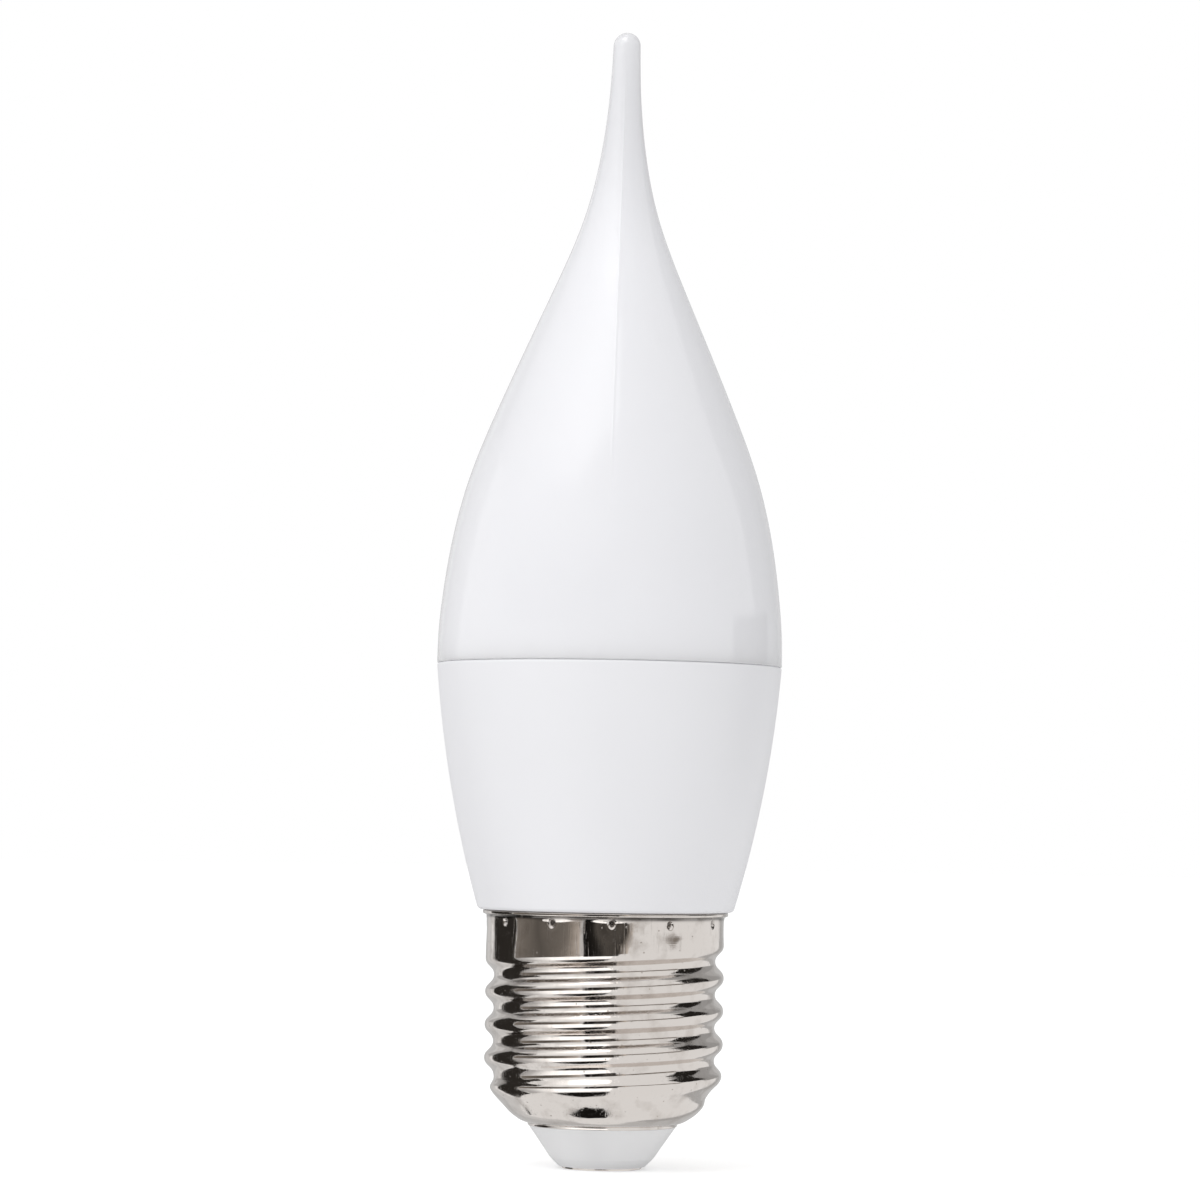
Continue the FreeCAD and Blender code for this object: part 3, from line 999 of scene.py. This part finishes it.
def add_card(name, lower_edge, top, distance, low_share=1.0, lean=0):
    """A curved glowing card round the bulb that only mirrors see."""
    corners = np.array(lower_edge, float)
    grid, around, share = card_grid(corners, top, distance, lean)
    index = np.arange(grid.shape[0] * grid.shape[1]).reshape(grid.shape[:2])
    quads = np.stack([index[:-1, :-1], index[1:, :-1], index[1:, 1:], index[:-1, 1:]], axis=-1)
    mesh = bpy.data.meshes.new(name)
    mesh.from_pydata(grid.reshape(-1, 3).tolist(), [], quads.reshape(-1, 4).tolist())
    level = np.interp(around, corners[:, 0], corners[:, 2])
    level = level * (low_share + (1 - low_share) * ease(3 * share))
    light = mesh.attributes.new("light", "FLOAT", "POINT")
    light.data.foreach_set("value", level.ravel())
    material = new_material(name + "_paint")
    tree = material.node_tree
    strength = add_node(tree, "Attribute", attribute_name="light").outputs["Fac"]
    colour = WHITE if corners[:, 2].mean() > WARM_UP_TO else WARM_WHITE
    glow = add_node(tree, "Emission", {"Color": colour, "Strength": strength})
    add_node(tree, "OutputMaterial", {"Surface": glow.outputs["Emission"]})
    mesh.materials.append(material)
    card = bpy.data.objects.new(name, mesh)
    card.visible_camera = False
    card.visible_diffuse = False
    card.visible_shadow = False
    card.visible_transmission = False
    bpy.context.scene.collection.objects.link(card)


class CANDLE_OT_studio(bpy.types.Operator):
    """Builds the pale floor, the soft lights, the cards and the camera"""

    bl_idname = "candle.studio"
    bl_label = "Studio"

    def execute(self, context):
        studio = context.scene.candle_studio
        self.make_floor(studio)
        self.make_room(context, studio)
        self.make_lamp(context, studio)
        for name, card in CARDS.items():
            add_card(name, *card)
        self.make_camera(context, studio)
        context.scene.view_settings.view_transform = "Standard"
        return {"FINISHED"}

    def make_floor(self, studio):
        """A plain pale disc of rings under the contact, a little brighter for the camera alone."""
        rings = np.array(FLOOR_RINGS)[:, None]
        angles = column_angles(96, 0.0)
        under = turn_about_axis(rings, np.full_like(rings, -FLOOR_THICKNESS), angles)
        top = turn_about_axis(rings[::-1], np.zeros_like(rings), angles)
        floor = add_surface("pale_floor", np.concatenate([under, top]))
        floor.data.polygons.foreach_set("use_smooth", np.zeros(len(floor.data.polygons), bool))
        material = new_material("pale_paper")
        tree = material.node_tree
        paper = add_node(tree, "BsdfDiffuse", {"Color": shaded(studio.floor_colour)})
        path = add_node(tree, "LightPath")
        seen = add_node(tree, "Math", {
            0: path.outputs["Is Camera Ray"], 1: PAPER_GLOW,
        }, operation="MULTIPLY")
        glow = add_node(tree, "Emission", {"Color": WHITE, "Strength": seen.outputs["Value"]})
        surface = add_node(tree, "AddShader", {0: paper.outputs["BSDF"], 1: glow.outputs["Emission"]})
        add_node(tree, "OutputMaterial", {"Surface": surface.outputs["Shader"]})
        floor.data.materials.append(material)
        floor.visible_glossy = False

    def make_room(self, context, studio):
        """An even white room: plain white behind the bulb, and a little under white as light on it."""
        world = bpy.data.worlds.new("white_studio")
        world.use_nodes = True
        tree = world.node_tree
        tree.nodes.clear()
        path = add_node(tree, "LightPath")
        mirrored = add_node(tree, "MapRange", {
            "Value": path.outputs["Is Glossy Ray"], "To Min": studio.fill, "To Max": MIRRORED_FILL,
        })
        strength = add_node(tree, "Mix", {
            "Factor": path.outputs["Is Camera Ray"], "A": mirrored.outputs["Result"], "B": 1.0,
        })
        light = add_node(tree, "Background", {"Color": WHITE, "Strength": strength.outputs["Result"]})
        add_node(tree, "OutputWorld", {"Surface": light.outputs["Background"]})
        context.scene.world = world

    def make_lamp(self, context, studio):
        """A soft square lamp at the upper left. In mirrors a card stands in for it."""
        lamp = bpy.data.lights.new("key_upper_left", "AREA")
        lamp.shape = "RECTANGLE"
        lamp.size = LAMP_SIDE
        lamp.size_y = LAMP_SIDE
        lamp.energy = studio.key
        key = bpy.data.objects.new("key_upper_left", lamp)
        key.location = LAMP_PLACE
        key.rotation_euler = (Vector(LAMP_AIM) - key.location).to_track_quat("-Z", "Y").to_euler()
        key.visible_glossy = False
        context.scene.collection.objects.link(key)

    def make_camera(self, context, studio):
        """The photograph's view: straight from the front, a little upwards, and rolled."""
        place = Vector((studio.aim_side, -studio.distance, studio.eye_height))
        forward = (Vector((studio.aim_side, 0, studio.aim_height)) - place).normalized()
        level = forward.cross(Vector((0, 0, 1))).normalized()
        upright = level.cross(forward)
        right = level * math.cos(studio.roll) + upright * math.sin(studio.roll)
        up = upright * math.cos(studio.roll) - level * math.sin(studio.roll)
        lens = bpy.data.cameras.new("photo_camera")
        lens.lens = studio.lens
        lens.clip_start = 0.01
        lens.clip_end = 20
        camera = bpy.data.objects.new("photo_camera", lens)
        turn = Matrix((right, up, -forward)).transposed()
        camera.matrix_world = Matrix.Translation(place) @ turn.to_4x4()
        context.scene.collection.objects.link(camera)
        context.scene.camera = camera


# Add-on


class CANDLE_PT_panel(bpy.types.Panel):
    """Lists the bulb's sizes and colours and its operators"""

    bl_idname = "CANDLE_PT_panel"
    bl_label = "Candle Bulb"
    bl_space_type = "VIEW_3D"
    bl_region_type = "UI"
    bl_category = "Candle Bulb"

    def draw(self, context):
        for group, operators in GROUPS.items():
            box = self.layout.box()
            settings = getattr(context.scene, group)
            for name in settings.__annotations__:
                box.prop(settings, name)
            for operator in operators:
                box.operator(operator.bl_idname)


SETTINGS = {
    "candle_diffuser": CandleDiffuserSettings,
    "candle_housing": CandleHousingSettings,
    "candle_cap": CandleCapSettings,
    "candle_insulator": CandleInsulatorSettings,
    "candle_studio": CandleStudioSettings,
}
GROUPS = {
    "candle_diffuser": (CANDLE_OT_diffuser,),
    "candle_housing": (CANDLE_OT_housing,),
    "candle_cap": (CANDLE_OT_screw_cap, CANDLE_OT_contact),
    "candle_insulator": (CANDLE_OT_insulator,),
    "candle_studio": (CANDLE_OT_studio,),
}
OPERATORS = [operator for group in GROUPS.values() for operator in group]
CLASSES = [*SETTINGS.values(), *OPERATORS, CANDLE_PT_panel]


def register():
    for cls in CLASSES:
        bpy.utils.register_class(cls)
    for name, cls in SETTINGS.items():
        setattr(bpy.types.Scene, name, bpy.props.PointerProperty(type=cls))


def unregister():
    for name in SETTINGS:
        delattr(bpy.types.Scene, name)
    for cls in reversed(CLASSES):
        bpy.utils.unregister_class(cls)


def main():
    """Registers the classes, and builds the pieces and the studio."""
    register()
    bpy.ops.candle.diffuser()
    bpy.ops.candle.housing()
    bpy.ops.candle.screw_cap()
    bpy.ops.candle.contact()
    bpy.ops.candle.insulator()
    bpy.ops.candle.studio()


if __name__ == "__main__":
    main()
